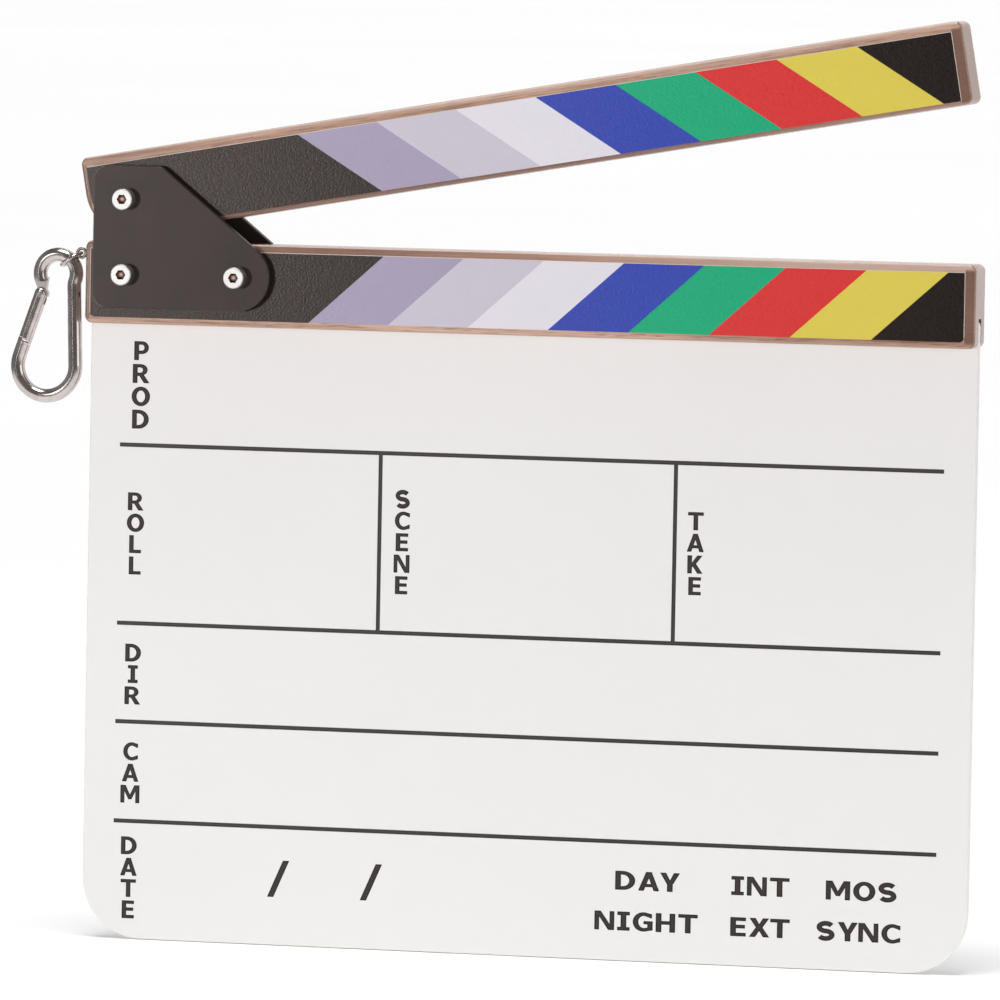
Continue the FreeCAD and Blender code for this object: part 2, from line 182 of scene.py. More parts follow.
# Square lights, all aimed at one point: name, place, side, power in W
LIGHT_TARGET = (0, 0, 0.16)
LIGHTS = (
    ("key", (-0.78, -1.4, 0.2), 0.18, 8.2),
    ("hook", (-0.9, -1.3, 0.62), 0.5, 2.4),
    ("glint", (-0.78, -1.4, 0.2), 0.12, 0.15),
    ("slate", (1.0, -2.0, 0.45), 0.6, 9.3),
    ("right", (1.3, -0.8, 0.5), 0.8, 2.4),
)
# The sun, whose width and tilt are in degrees
SUN_POWER = 1.95
SUN_WIDTH = 30
SUN_TILT = 16
SUN_PLACE = (0, -0.7, 2)
# Lights that fall on some nodes alone, or on all but them
LIGHT_LINKS = (
    ("key", HOOK_NODES, "EXCLUDE"),
    ("hook", HOOK_NODES, "INCLUDE"),
    ("glint", HOOK_NODES, "INCLUDE"),
    ("slate", ("slate_board",) + SCREW_NODES, "INCLUDE"),
    ("top", ("slate_board",), "EXCLUDE"),
)
# Ground, wall and left glow around the studio: direction, two shares along it, and the brightness at each
GLOWS = (
    (UP, (-0.3, -0.12), (1.1, 0.15)),
    ((0.7, 0.71, 0), (0.05, 0.4), (0.0, 0.95)),
    (RIGHT, (-0.8, -0.2), (0.25, 0.0)),
)


def srgb(red, green, blue):
    """Linear colour of a screen colour given from 0 to 255."""

    def linear(value):
        share = value / 255
        return share / 12.92 if share <= 0.04045 else ((share + 0.055) / 1.055) ** 2.4

    return (linear(red), linear(green), linear(blue), 1.0)


def grey(share):
    """Grey of a linear brightness, for a ramp that carries a number."""
    return (share, share, share, 1.0)


def directions(turn):
    """Unit vectors along and across a stick that is turned by an angle in degrees."""
    angle = math.radians(turn)
    return Vector((math.cos(angle), 0, math.sin(angle))), Vector((-math.sin(angle), 0, math.cos(angle)))


class Shader:
    """A node material, with short calls for the nodes that it is made of."""

    def __init__(self, name):
        self.material = bpy.data.materials.new(name)
        self.material.use_nodes = True
        self.tree = self.material.node_tree
        self.surface = self.tree.nodes["Principled BSDF"]
        self.coordinates = self.tree.nodes.new("ShaderNodeTexCoord")

    def join(self, value, socket):
        """Links a node's output to a socket, or sets the socket to a plain value."""
        if isinstance(value, bpy.types.NodeSocket):
            self.tree.links.new(value, socket)
        else:
            socket.default_value = value

    def set(self, **values):
        """Sets sockets of the surface, such as base_color or roughness."""
        for name, value in values.items():
            self.join(value, self.surface.inputs[name.replace("_", " ").title().replace("Ior", "IOR")])

    def math(self, operation, first, second=0.0, clamp=False):
        """Result of an operation on numbers, kept from 0 to 1 if clamped."""
        node = self.tree.nodes.new("ShaderNodeMath")
        node.operation = operation
        node.use_clamp = clamp
        self.join(first, node.inputs[0])
        self.join(second, node.inputs[1])
        return node.outputs[0]

    def times(self, first, *others):
        """Product of two or more values."""
        for other in others:
            first = self.math("MULTIPLY", first, other)
        return first

    def above(self, value, limit):
        """1 where a value is over a limit, and 0 elsewhere."""
        return self.math("GREATER_THAN", value, limit)

    def below(self, value, limit):
        """1 where a value is under a limit, and 0 elsewhere."""
        return self.math("LESS_THAN", value, limit)

    def gap(self, first, second):
        """Distance between two values."""
        return self.math("ABSOLUTE", self.math("SUBTRACT", first, second))

    def hypotenuse(self, first, second):
        """Distance of a point in a plane from its origin."""
        squares = self.math("ADD", self.times(first, first), self.times(second, second))
        return self.math("SQRT", squares)

    def scaled(self, vector, scale, turn=0.0):
        """Vector turned about Y by an angle in degrees and then stretched."""
        turned = self.tree.nodes.new("ShaderNodeMapping")
        self.join(vector, turned.inputs["Vector"])
        turned.inputs["Rotation"].default_value = (0, math.radians(turn), 0)
        stretch = self.tree.nodes.new("ShaderNodeVectorMath")
        stretch.operation = "MULTIPLY"
        self.join(turned.outputs[0], stretch.inputs[0])
        stretch.inputs[1].default_value = scale
        return stretch.outputs[0]

    def along(self, vector, origin, direction):
        """Distance of a point from origin, measured along direction."""
        offset = self.tree.nodes.new("ShaderNodeVectorMath")
        offset.operation = "SUBTRACT"
        self.join(vector, offset.inputs[0])
        offset.inputs[1].default_value = origin
        dot = self.tree.nodes.new("ShaderNodeVectorMath")
        dot.operation = "DOT_PRODUCT"
        self.join(offset.outputs[0], dot.inputs[0])
        dot.inputs[1].default_value = direction
        return dot.outputs["Value"]

    def noise(self, vector, scale=1.0, detail=2.0, roughness=0.5):
        """Cloudy pattern from 0 to 1."""
        node = self.tree.nodes.new("ShaderNodeTexNoise")
        self.join(vector, node.inputs["Vector"])
        node.inputs["Scale"].default_value = scale
        node.inputs["Detail"].default_value = detail
        node.inputs["Roughness"].default_value = roughness
        return node.outputs["Fac"]

    def ramp(self, value, stops, interpolation="LINEAR"):
        """Colour that follows a value through (position, colour) stops."""
        node = self.tree.nodes.new("ShaderNodeValToRGB")
        node.color_ramp.interpolation = interpolation
        elements = node.color_ramp.elements
        while len(elements) < len(stops):
            elements.new(1.0)
        for element, (position, colour) in zip(elements, stops):
            element.position = position
            element.color = colour
        self.join(value, node.inputs["Fac"])
        return node.outputs["Color"]

    def spread(self, value, low, high):
        """Value from 0 to 1 carried to the range from low to high."""
        node = self.tree.nodes.new("ShaderNodeMapRange")
        self.join(value, node.inputs["Value"])
        node.inputs["To Min"].default_value = low
        node.inputs["To Max"].default_value = high
        return node.outputs["Result"]

    def mix(self, share, first, second):
        """Colour that goes from the first to the second as share goes from 0 to 1."""
        node = self.tree.nodes.new("ShaderNodeMix")
        node.data_type = "RGBA"
        self.join(share, node.inputs["Factor"])
        self.join(first, node.inputs["A"])
        self.join(second, node.inputs["B"])
        return node.outputs["Result"]

    def bump(self, height, depth, strength):
        """Relief of the given depth in mm."""
        node = self.tree.nodes.new("ShaderNodeBump")
        self.join(height, node.inputs["Height"])
        node.inputs["Distance"].default_value = depth * MM
        node.inputs["Strength"].default_value = strength
        self.join(node.outputs["Normal"], self.surface.inputs["Normal"])

    def place(self):
        """Point on the surface, in the part's own frame."""
        return self.coordinates.outputs["Object"]

    def toward(self, axis):
        """How far the surface faces along an axis, from -1 to 1."""
        return self.along(self.coordinates.outputs["Normal"], ORIGIN, axis)

    def facing(self, axis):
        """How far the surface faces along an axis, from 0 to 1, on either side."""
        return self.math("ABSOLUTE", self.toward(axis))

    def film_axes(self, corner, turn):
        """Distances in mm along and across a turned film from its lower left corner."""
        run, rise = directions(turn)
        return self.along(self.place(), corner, run / MM), self.along(self.place(), corner, rise / MM)


def tone_stops(tones):
    """Ramp stops of (position, screen colour) pairs."""
    return [(position, srgb(*colour)) for position, colour in tones]


def arris_light_and_shade(shader, colour, front, bands):
    """Wood colour with its arrises painted pale along the stick, a painted highlight that is palest on those
    facing up, and painted dark on the arrises of its end faces, a painted shade.
    """
    arris = shader.ramp(front, [(0.1, grey(0)), (0.35, grey(1)), (0.8, grey(1)), (0.97, grey(0))])
    sideways = shader.toward(RIGHT)
    level = shader.below(shader.math("ABSOLUTE", sideways), 0.25)
    edge_highlight = shader.times(arris, shader.spread(bands, 0.35, 0.85), level)
    # Painted highlight on the arrises along the stick, paler on those that face up
    arris_highlight_colour = shader.mix(shader.above(shader.toward(UP), 0.2), srgb(172, 140, 122), srgb(230, 215, 208))
    colour = shader.mix(edge_highlight, colour, arris_highlight_colour)
    # Painted shade on the arrises of the stick's end faces
    right = shader.times(shader.above(sideways, 0.25), 0.5)
    left = shader.times(shader.below(sideways, -0.25), 0.8)
    end_arris_shade = shader.times(arris, shader.math("ADD", left, right))
    return shader.mix(end_arris_shade, colour, srgb(110, 80, 66))


def wood(name, film, end_grain, top_light_and_shade, top_shares, foot_shade=None):
    """Oiled brown wood whose fibres run along a stick with a film, given by its corner, turn and size, with
    painted light and shade on its arrises, at its end faces and along its film.
    """
    corner, turn, size = film
    shader = Shader(name)
    bands = shader.noise(shader.scaled(shader.place(), (5, 120, 120), turn), detail=3)
    fibres = shader.noise(shader.scaled(shader.place(), (30, 1500, 1500), turn), detail=4, roughness=0.65)
    pores = shader.noise(shader.scaled(shader.place(), (140, 3600, 3600), turn), detail=1)
    tone = shader.math("ADD", shader.times(bands, 0.45), shader.times(fibres, 0.55))
    colour = shader.ramp(
        tone,
        [(0.36, srgb(132, 97, 80)), (0.5, srgb(172, 136, 116)), (0.64, srgb(204, 170, 150))],
    )
    pits = shader.ramp(pores, [(0.33, grey(1)), (0.42, grey(0))])
    colour = shader.mix(shader.times(pits, 0.6), colour, srgb(104, 74, 62))
    lengthwise = shader.facing(directions(turn)[0])
    end_face = shader.ramp(lengthwise, [(0.75, grey(0)), (0.95, grey(1))])
    colour = shader.mix(shader.times(end_face, 0.85), colour, srgb(*end_grain))
    front = shader.facing(INTO)
    colour = arris_light_and_shade(shader, colour, front, bands)

    # Painted light and shade above and below the film: a painted shade below the upper film and near the hinge,
    # lighter towards the far end, and above the upper film a painted highlight towards the top edge
    u, v = shader.film_axes(corner, turn)
    length = shader.math("DIVIDE", u, size[0])
    if foot_shade:
        foot = shader.times(shader.below(v, 0.0), FOOT_SHADE_SHARE)
        colour = shader.mix(foot, colour, shader.ramp(length, tone_stops(foot_shade)))
    height = shader.math("DIVIDE", shader.math("SUBTRACT", v, size[1]), TOP_RANGE)
    stops = [(limit / TOP_RANGE, grey(share)) for limit, share in zip(TOP_HEIGHTS, top_shares)]
    flat = shader.above(front, 0.8)
    top = shader.times(shader.ramp(height, stops), flat, shader.above(v, size[1]))
    colour = shader.mix(top, colour, shader.ramp(length, tone_stops(top_light_and_shade)))

    # Painted shade on the stick beyond either end of the film, following the fibres
    reach = shader.gap(v, size[1] / 2)
    fade = shader.math("SUBTRACT", size[1] / 2 + END_FADE, reach, clamp=True)
    left = shader.times(shader.below(u, 0.0), LEFT_END_SHADE_SHARE)
    end_shade = shader.math("MAXIMUM", left, shader.above(u, size[0]))
    end_shade = shader.times(end_shade, flat, fade, shader.spread(fibres, 0.75, 1.05))
    colour = shader.mix(end_shade, colour, srgb(105, 74, 61))

    shader.set(
        base_color=colour,
        roughness=shader.spread(fibres, 0.45, 0.65),
        specular_ior_level=0.25,
        coat_weight=0.7,
        coat_roughness=0.1,
    )
    shader.bump(shader.math("SUBTRACT", fibres, pits), 0.06, 0.5)
    return shader.material


def stripe_film(name, film, stripes, left_border):
    """Printed film with slanted colour bands and a pale cut border at its top and right, and left if asked for."""
    corner, turn, size = film
    start, width, lean = stripes
    shader = Shader(name)
    u, v = shader.film_axes(corner, turn)
    slanted = shader.math("SUBTRACT", u, shader.times(v, lean))
    step = shader.math("DIVIDE", shader.math("SUBTRACT", slanted, start), width)
    share = STRIPE_STEPS / RAMP_STEPS
    position = shader.math("MULTIPLY", shader.math("ADD", step, 1.0), share, clamp=True)
    stops = [
        (max(index * share - 0.5 / RAMP_STEPS, 0.0), srgb(*colour)) for index, colour in enumerate(STRIPE_COLOURS)
    ]
    printed = shader.ramp(position, stops, "CONSTANT")
    mottle = shader.noise(shader.place(), 900, detail=3)
    printed = shader.mix(shader.spread(mottle, 0.0, 0.03), printed, srgb(120, 112, 112))
    cut_edge = shader.below(shader.facing(INTO), 0.5)
    distances = [shader.math("SUBTRACT", size[0], u), shader.math("SUBTRACT", size[1], v)]
    if left_border:
        distances.append(u)
    for distance in distances:
        cut_edge = shader.math("MAXIMUM", cut_edge, shader.below(distance, FILM_BORDER))
    shader.set(
        base_color=shader.mix(cut_edge, printed, srgb(200, 184, 174)),
        roughness=shader.spread(mottle, 0.24, 0.33),
        specular_ior_level=0.18,
        specular_tint=(1.0, 0.87, 0.82, 1.0),
    )
    grain = shader.noise(shader.place(), 1400, detail=3, roughness=0.6)
    shader.bump(grain, 0.12, 0.6)
    return shader.material


def white_acrylic():
    """Satin white sheet whose ruled grooves are filled with dark paint, and whose white darkens towards its top: a
    painted shade.
    """
    shader = Shader("white_acrylic")
    low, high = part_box("slate_board")
    clouds = shader.noise(shader.place(), 9, detail=3)
    # Painted shade: the white darkens from the bottom towards the top, with a little random cloudiness
    rise = shader.along(shader.place(), low, (0, 0, 1 / (high.z - low.z)))
    tone = shader.math("ADD", rise, shader.spread(clouds, -0.12, 0.12))
    colour = shader.ramp(
        tone, [(0.05, srgb(226, 225, 223)), (0.5, srgb(222, 220, 219)), (0.95, srgb(215, 212, 211))]
    )

    # Distance from the nearest ruled line
    x = shader.along(shader.place(), ORIGIN, RIGHT)
    y = shader.along(shader.place(), low, INTO)
    z = shader.along(shader.place(), ORIGIN, UP)
    rules = 1.0
    for height in RULE_HEIGHTS:
        rules = shader.math("MINIMUM", rules, shader.gap(z, height * MM))
    beyond = shader.above(shader.math("ABSOLUTE", x), high.x - RULE_INSET * MM)
    rules = shader.math("ADD", rules, beyond)
    columns = 1.0
    for column in range(1, COLUMNS):
        column_x = low.x + (high.x - low.x) * column / COLUMNS
        columns = shader.math("MINIMUM", columns, shader.gap(x, column_x))
    foot, top = RULE_HEIGHTS[2:]
    reach = shader.gap(z, (top + foot) / 2 * MM)
    columns = shader.math("ADD", columns, shader.above(reach, (top - foot) / 2 * MM))
    distance = shader.math("MINIMUM", rules, columns)

    flecks = shader.noise(shader.place(), 2200, detail=2)
    core = shader.math("MULTIPLY", distance, 2 / (RULE_PAINT * MM), clamp=True)
    paint = shader.ramp(core, [(0.25, srgb(60, 52, 50)), (0.75, srgb(24, 19, 18))])
    paint = shader.mix(shader.spread(flecks, 0.0, 0.4), paint, srgb(44, 37, 35))
    front = shader.below(y, RULE_PAINT_DEPTH * MM)
    groove = shader.times(front, shader.below(distance, RULE_PAINT / 2 * MM))
    shader.set(
        base_color=shader.mix(groove, colour, paint),
        roughness=shader.spread(clouds, 0.44, 0.56),
        specular_ior_level=0.3,
    )
    shader.bump(flecks, 0.01, 0.25)
    return shader.material


def slate_paint(name, colour):
    """Dark paint in the engraved words, a little uneven."""
    shader = Shader(name)
    flecks = shader.noise(shader.place(), 2200, detail=2)
    dark = srgb(*(value * 0.88 for value in colour))
    light = srgb(*(value * 1.12 for value in colour))
    shader.set(
        base_color=shader.ramp(flecks, [(0.3, dark), (0.7, light)]),
        roughness=shader.spread(flecks, 0.45, 0.65),
        specular_ior_level=0.2,
    )
    shader.bump(flecks, 0.01, 0.4)
    return shader.material


def black_plate(name, dark, light, edge_highlight):
    """Satin black coating with a painted highlight on the chamfers, brightest on those that face left, towards the
    key light.
    """
    shader = Shader(name)
    speckle = shader.noise(shader.place(), 2600, detail=2)
    clouds = shader.noise(shader.place(), 60, detail=3)
    coat = shader.ramp(clouds, [(0.3, dark), (0.7, light)])
    facing = shader.facing(INTO)
    chamfer = shader.times(shader.above(facing, 0.4), shader.below(facing, 0.92))
    leftward = shader.below(shader.toward(RIGHT), -0.2)
    chamfer_highlight = shader.times(chamfer, shader.spread(clouds, 0.2 * edge_highlight, 0.9 * edge_highlight))
    # Painted highlight colour of the chamfers, lighter on those that face left
    edge = shader.mix(leftward, srgb(70, 62, 58), srgb(124, 114, 109))
    shader.set(
        base_color=shader.mix(chamfer_highlight, coat, edge),
        roughness=shader.spread(speckle, 0.3, 0.4),
        specular_ior_level=0.15,
        specular_tint=(1.0, 0.9, 0.86, 1.0),
    )
    shader.bump(speckle, 0.03, 0.3)
    return shader.material


def turned_steel():
    """Stainless steel with fine turning rings. The screws' hexagon sockets are painted dark, a painted shade,
    around a pale spot, a painted glint.
    """
    shader = Shader("turned_steel")
    box_place = shader.coordinates.outputs["Generated"]
    middle = (0.5, 0.0, 0.5)
    across = shader.along(box_place, middle, RIGHT)
    inward = shader.along(box_place, middle, INTO)
    upward = shader.along(box_place, middle, UP)
    radius = shader.hypotenuse(across, upward)
    rings = shader.math("SINE", shader.times(radius, 220.0))
    smear = shader.noise(shader.place(), 500, detail=3)
    bright = shader.ramp(smear, [(0.3, srgb(168, 165, 163)), (0.7, srgb(194, 190, 188))])
    sunk = shader.times(shader.above(inward, 0.004), shader.below(inward, 0.12))
    socket = shader.times(sunk, shader.below(radius, 0.34))
    # Painted glint: a pale spot a little left of the socket's middle, going through brown to a painted shade over
    # the rest of the socket, which is kept from being metallic
    spot = shader.hypotenuse(shader.math("ADD", across, 0.1), upward)
    socket_shade_and_glint = shader.ramp(
        spot, [(0.03, srgb(255, 238, 224)), (0.09, srgb(196, 134, 103)), (0.15, srgb(50, 38, 33))]
    )
    shader.set(
        base_color=shader.mix(socket, bright, socket_shade_and_glint),
        metallic=shader.math("SUBTRACT", 1.0, socket),
        roughness=shader.spread(smear, 0.4, 0.54),
    )
    shader.bump(shader.math("ADD", shader.times(rings, 0.5), smear), 0.01, 0.4)
    return shader.material


def plated_steel(name, dark, light):
    """Polished plated wire, matt on the flat ground faces beside the rivet."""
    shader = Shader(name)
    smear = shader.noise(shader.place(), 260, detail=4)
    scratches = shader.noise(shader.scaled(shader.place(), (900, 900, 6000)), detail=3)
    low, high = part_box("carabiner_body")
    depth = shader.math("ABSOLUTE", shader.along(shader.place(), (low + high) / 2, (0, 1 / MM, 0)))
    level = shader.above(shader.facing(INTO), 0.98)
    ground = shader.times(level, shader.below(depth, 1.0))
    polish = shader.ramp(smear, [(0.3, dark), (0.7, light)])
    shader.set(
        base_color=shader.mix(ground, polish, srgb(214, 207, 204)),
        metallic=1.0,
        roughness=shader.math("ADD", shader.spread(smear, 0.1, 0.2), shader.times(ground, 0.34)),
    )
    shader.bump(shader.math("ADD", shader.times(scratches, 0.4), smear), 0.012, 0.35)
    return shader.material


def spring_steel():
    """Drawn wire."""
    shader = Shader("spring_steel")
    smear = shader.noise(shader.place(), 1500, detail=3)
    shader.set(
        base_color=shader.ramp(smear, [(0.3, srgb(150, 148, 147)), (0.7, srgb(182, 180, 178))]),
        metallic=1.0,
        roughness=shader.spread(smear, 0.22, 0.34),
    )
    shader.bump(smear, 0.005, 0.4)
    return shader.material


def pale_floor():
    """Pale matt studio floor."""
    shader = Shader("pale_floor")
    clouds = shader.noise(shader.place(), 0.7, detail=2)
    shader.set(
        base_color=shader.ramp(clouds, [(0.3, srgb(252, 252, 252)), (0.7, srgb(254, 254, 254))]),
        roughness=0.9,
    )
    return shader.material


def paint_nodes(material, *names):
    """Gives CAD nodes a material."""
    for name in names:
        slots = frame["nodes"][name].data.materials
        slots.clear()
        slots.append(material)


def add(name, data, place=ORIGIN):
    """Links a new object into the scene."""
    piece = bpy.data.objects.new(name, data)
    piece.location = place
    bpy.context.scene.collection.objects.link(piece)
    return piece


def arc(middle, radii, first, last, steps=14):
    """Points on an ellipse from one angle to another, in degrees."""
    turns = [math.radians(first + (last - first) * step / steps) for step in range(steps + 1)]
    return [(middle[0] + radii[0] * math.cos(turn), middle[1] + radii[1] * math.sin(turn)) for turn in turns]


def ribbon(line, width):
    """Outline of a stroke of even width along a line of points."""
    sides = ([], [])
    for index, point in enumerate(line):
        before, after = line[max(index - 1, 0)], line[min(index + 1, len(line) - 1)]
        run = Vector((after[0] - before[0], after[1] - before[1])).normalized() * (width / 2)
        sides[0].append((point[0] - run.y, point[1] + run.x))
        sides[1].append((point[0] + run.y, point[1] - run.x))
    return sides[0] + sides[1][::-1]


def letter(name):
    """Width and loops of a block capital or slash whose height is 1. The first loop is its outline."""
    s, b = STEM, BAR
    if name == "L":
        return 0.7, [[(0, 0), (0, 1), (s, 1), (s, b), (0.7, b), (0.7, 0)]]
    if name == "E":
        low, high = 0.42, 0.42 + b
        arms = [(0.72, 1), (0.72, 1 - b), (s, 1 - b), (s, high), (0.68, high), (0.68, low), (s, low), (s, b)]
        return 0.72, [[(0, 0), (0, 1)] + arms + [(0.72, b), (0.72, 0)]]
    if name == "T":
        left, right = 0.45 - s / 2, 0.45 + s / 2
        top = [(left, 1 - b), (0, 1 - b), (0, 1), (0.9, 1), (0.9, 1 - b), (right, 1 - b)]
        return 0.9, [[(left, 0)] + top + [(right, 0)]]
    if name == "I":
        left, right = 0.29 - s / 2, 0.29 + s / 2
        half = [(0, 0), (0, b), (left, b), (left, 1 - b), (0, 1 - b), (0, 1)]
        return 0.58, [half + [(0.58, 1), (0.58, 1 - b), (right, 1 - b), (right, b), (0.58, b), (0.58, 0)]]
    if name == "H":
        low, high = 0.5 - b / 2, 0.5 + b / 2
        left = [(0, 0), (0, 1), (s, 1), (s, high)]
        right = [(0.9 - s, high), (0.9 - s, 1), (0.9, 1), (0.9, 0), (0.9 - s, 0), (0.9 - s, low)]
        return 0.9, [left + right + [(s, low), (s, 0)]]
    if name == "N":
        left = [(0, 0), (0, 1), (0.29, 1), (0.7, 0.33)]
        return 0.92, [left + [(0.7, 1), (0.92, 1), (0.92, 0), (0.64, 0), (0.22, 0.69), (0.22, 0)]]
    if name == "M":
        top = [(0, 0), (0, 1), (0.3, 1), (0.56, 0.47), (0.82, 1), (1.12, 1), (1.12, 0)]
        return 1.12, [top + [(0.88, 0), (0.88, 0.64), (0.65, 0.2), (0.47, 0.2), (0.24, 0.64), (0.24, 0)]]
    if name == "A":
        outline = [(0, 0), (0.36, 1), (0.62, 1), (0.98, 0), (0.72, 0), (0.65, 0.2), (0.33, 0.2), (0.26, 0)]
        return 0.98, [outline, [(0.39, 0.37), (0.49, 0.66), (0.59, 0.37)]]
    if name == "K":
        left = [(0, 0), (0, 1), (s, 1), (s, 0.6), (0.56, 1), (0.86, 1)]
        return 0.88, [left + [(0.5, 0.54), (0.88, 0), (0.57, 0), (0.31, 0.39), (s, 0.33), (s, 0)]]
    if name == "Y":
        left = [(0.46 - s / 2, 0), (0.46 - s / 2, 0.38), (0, 1), (0.28, 1), (0.46, 0.61)]
        return 0.92, [left + [(0.64, 1), (0.92, 1), (0.46 + s / 2, 0.38), (0.46 + s / 2, 0)]]
    if name == "X":
        left = [(0, 0), (0.32, 0.51), (0.02, 1), (0.31, 1), (0.475, 0.69)]
        right = [(0.64, 1), (0.93, 1), (0.63, 0.51), (0.95, 0), (0.66, 0)]
        return 0.95, [left + right + [(0.475, 0.32), (0.29, 0)]]
    if name == "P":
        outline = [(0, 0), (0, 1)] + arc((0.44, 0.665), (0.37, 0.335), 90, -90) + [(s, 0.33), (s, 0)]
        return 0.81, [outline, [(s, 0.51), (s, 0.82)] + arc((0.42, 0.665), (0.14, 0.155), 90, -90)]
    if name == "R":
        leg = [(0.93, 0), (0.62, 0), (0.37, 0.37), (s, 0.37), (s, 0)]
        outline = [(0, 0), (0, 1)] + arc((0.44, 0.7), (0.38, 0.3), 90, -62) + leg
        return 0.93, [outline, [(s, 0.55), (s, 0.82)] + arc((0.42, 0.685), (0.14, 0.135), 90, -90)]
    if name == "D":
        outline = [(0, 0), (0, 1)] + arc((0.36, 0.5), (0.57, 0.5), 90, -90)
        return 0.93, [outline, [(s, b), (s, 1 - b)] + arc((0.36, 0.5), (0.29, 0.49 - b), 90, -90)]
    if name == "O":
        outer = arc((0.51, 0.5), (0.51, 0.515), 360, 0, 32)[:-1]
        return 1.02, [outer, arc((0.51, 0.5), (0.235, 0.31), 360, 0, 32)[:-1]]
    if name == "C":
        outer = arc((0.5, 0.5), (0.5, 0.515), 65, 295)
        inner = arc((0.52, 0.5), (0.26, 0.32), 298, 62)
        return 0.87, [(outer + [(0.87, 0.07), (0.87, 0.31)] + inner + [(0.87, 0.69), (0.87, 0.93)])[::-1]]
    if name == "G":
        outer = arc((0.5, 0.5), (0.5, 0.515), 65, 295)
        bar = [(0.93, 0.07), (0.93, 0.55), (0.5, 0.55), (0.5, 0.38), (0.68, 0.38), (0.68, 0.2)]
        inner = arc((0.52, 0.5), (0.26, 0.32), 292, 62)
        return 0.93, [(outer + bar + inner + [(0.89, 0.69), (0.89, 0.93)])[::-1]]
    if name == "S":
        upper = arc((0.42, 0.7), (0.3, 0.2), 28, 262)
        lower = arc((0.41, 0.3), (0.3, 0.2), 82, -152)
        return 0.83, [ribbon(upper + lower, 0.25)]
    return 0.62, [[(0, 0), (0.44, 1), (0.62, 1), (0.18, 0)]]


def inset(loop, distance):
    """Loop moved towards its inside, to the right of its run, by a distance."""
    moved = []
    for index, point in enumerate(loop):
        here = Vector(point)
        before = (here - Vector(loop[index - 1])).normalized()
        after = (Vector(loop[(index + 1) % len(loop)]) - here).normalized()
        sides = Vector((before.y, -before.x)), Vector((after.y, -after.x))
        reach = distance / max(1 + sides[0].dot(sides[1]), 0.5)
        moved.append(here + (sides[0] + sides[1]) * reach)
    return moved


def add_solid(mesh, loops, front, back, paint):
    """Adds a plate with the given outline and holes, in the XZ plane, to mesh data."""
    vertices, faces, paints = mesh
    start = len(vertices)
    points = [point for loop in loops for point in loop]
    count = len(points)
    vertices += [(x, front, z) for x, z in points] + [(x, back, z) for x, z in points]
    sheets = [[Vector((x, 0, z)) for x, z in loop] for loop in loops]
    new = []
    for a, b, c in tessellate_polygon(sheets):
        new += [(start + a, start + b, start + c), (start + count + c, start + count + b, start + count + a)]
    first = start
    for loop in loops:
        size = len(loop)
        for step in range(size):
            here, after = first + step, first + (step + 1) % size
            new.append((here, after, after + count, here + count))
        first += size
    faces += new
    paints += [paint] * len(new)


def add_letter(mesh, name, middle, size, front):
    """Adds one painted capital, with a dark rim and a lighter middle, to mesh data."""
    width, loops = letter(name)
    placed = [
        [(middle[0] + (x - width / 2) * size[0] * MM, middle[1] + (z - 0.5) * size[1] * MM) for x, z in loop]
        for loop in loops
    ]
    add_solid(mesh, placed, front - PAINT_RISE * MM, front + PAINT_DEPTH * MM, 0)
    cores = [inset(loop, PAINT_RIM * MM * (1 if index == 0 else -1)) for index, loop in enumerate(placed)]
    add_solid(mesh, cores, front - CORE_RISE * MM, front, 1)


def add_word(name, letters, materials):
    """Word made of (letter, middle, size) on the slate, as one piece that rides with the board."""
    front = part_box("slate_board")[0].y
    mesh = ([], [], [])
    for capital, middle, size in letters:
        add_letter(mesh, capital, (middle[0] * MM, middle[1] * MM), size, front)
    data = bpy.data.meshes.new(name)
    data.from_pydata(mesh[0], [], mesh[1])
    for material in materials:
        data.materials.append(material)
    data.polygons.foreach_set("material_index", mesh[2])
    shape = bmesh.new()
    shape.from_mesh(data)
    bmesh.ops.recalc_face_normals(shape, faces=shape.faces)
    shape.to_mesh(data)
    shape.free()
    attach(add(name, data), "board")


def add_legends():
    """Field words and the two slashes of the date."""
    materials = (slate_paint("paint_rim", RIM_COLOUR), slate_paint("paint_core", CORE_COLOUR))
    for word, x, z, cap, pitch in STACKED_WORDS:
        letters = [(capital, (x, z - pitch * index), (cap, cap)) for index, capital in enumerate(word)]
        add_word("legend_" + word.lower(), letters, materials)
    for word, x, z in LINE_WORDS:
        size = (LINE_CAP * LINE_STRETCH, LINE_CAP)
        letters = []
        for capital in word:
            width = letter(capital)[0] * size[0]
            bearing = OPEN_BEARING if capital in OPEN_LETTERS else LETTER_BEARING
            letters.append((capital, (x + width / 2, z), size))
            x += width + 2 * bearing
        add_word("legend_" + word.lower(), letters, materials)
    for index, middle in enumerate(SLASHES):
        size = (SLASH_SIZE[0] / letter("/")[0], SLASH_SIZE[1])
        add_word(f"date_slash_{index + 1}", [("/", middle, size)], materials)


def film_places():
    """Corner, turn and size of the lower and the upper film."""
    pivot = Vector(next(joint["pos_m"] for joint in frame["joints"] if joint["name"] == "clap_hinge"))
    stick_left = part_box("lower_stick")[0].x
    label_low, label_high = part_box("lower_stripe_label")
    lower_corner = Vector((label_low.x, 0, label_low.z))
    along, across = directions(OPEN_ANGLE)
    back = pivot.x - stick_left - LABEL_MARGIN * MM
    upper_corner = pivot - along * back - across * ((PIVOT_HEIGHT - UPPER_LABEL_RISE) * MM)
    size = ((label_high.x - label_low.x) / MM, (label_high.z - label_low.z) / MM)
    return (lower_corner, 0, size), (upper_corner, OPEN_ANGLE, size)


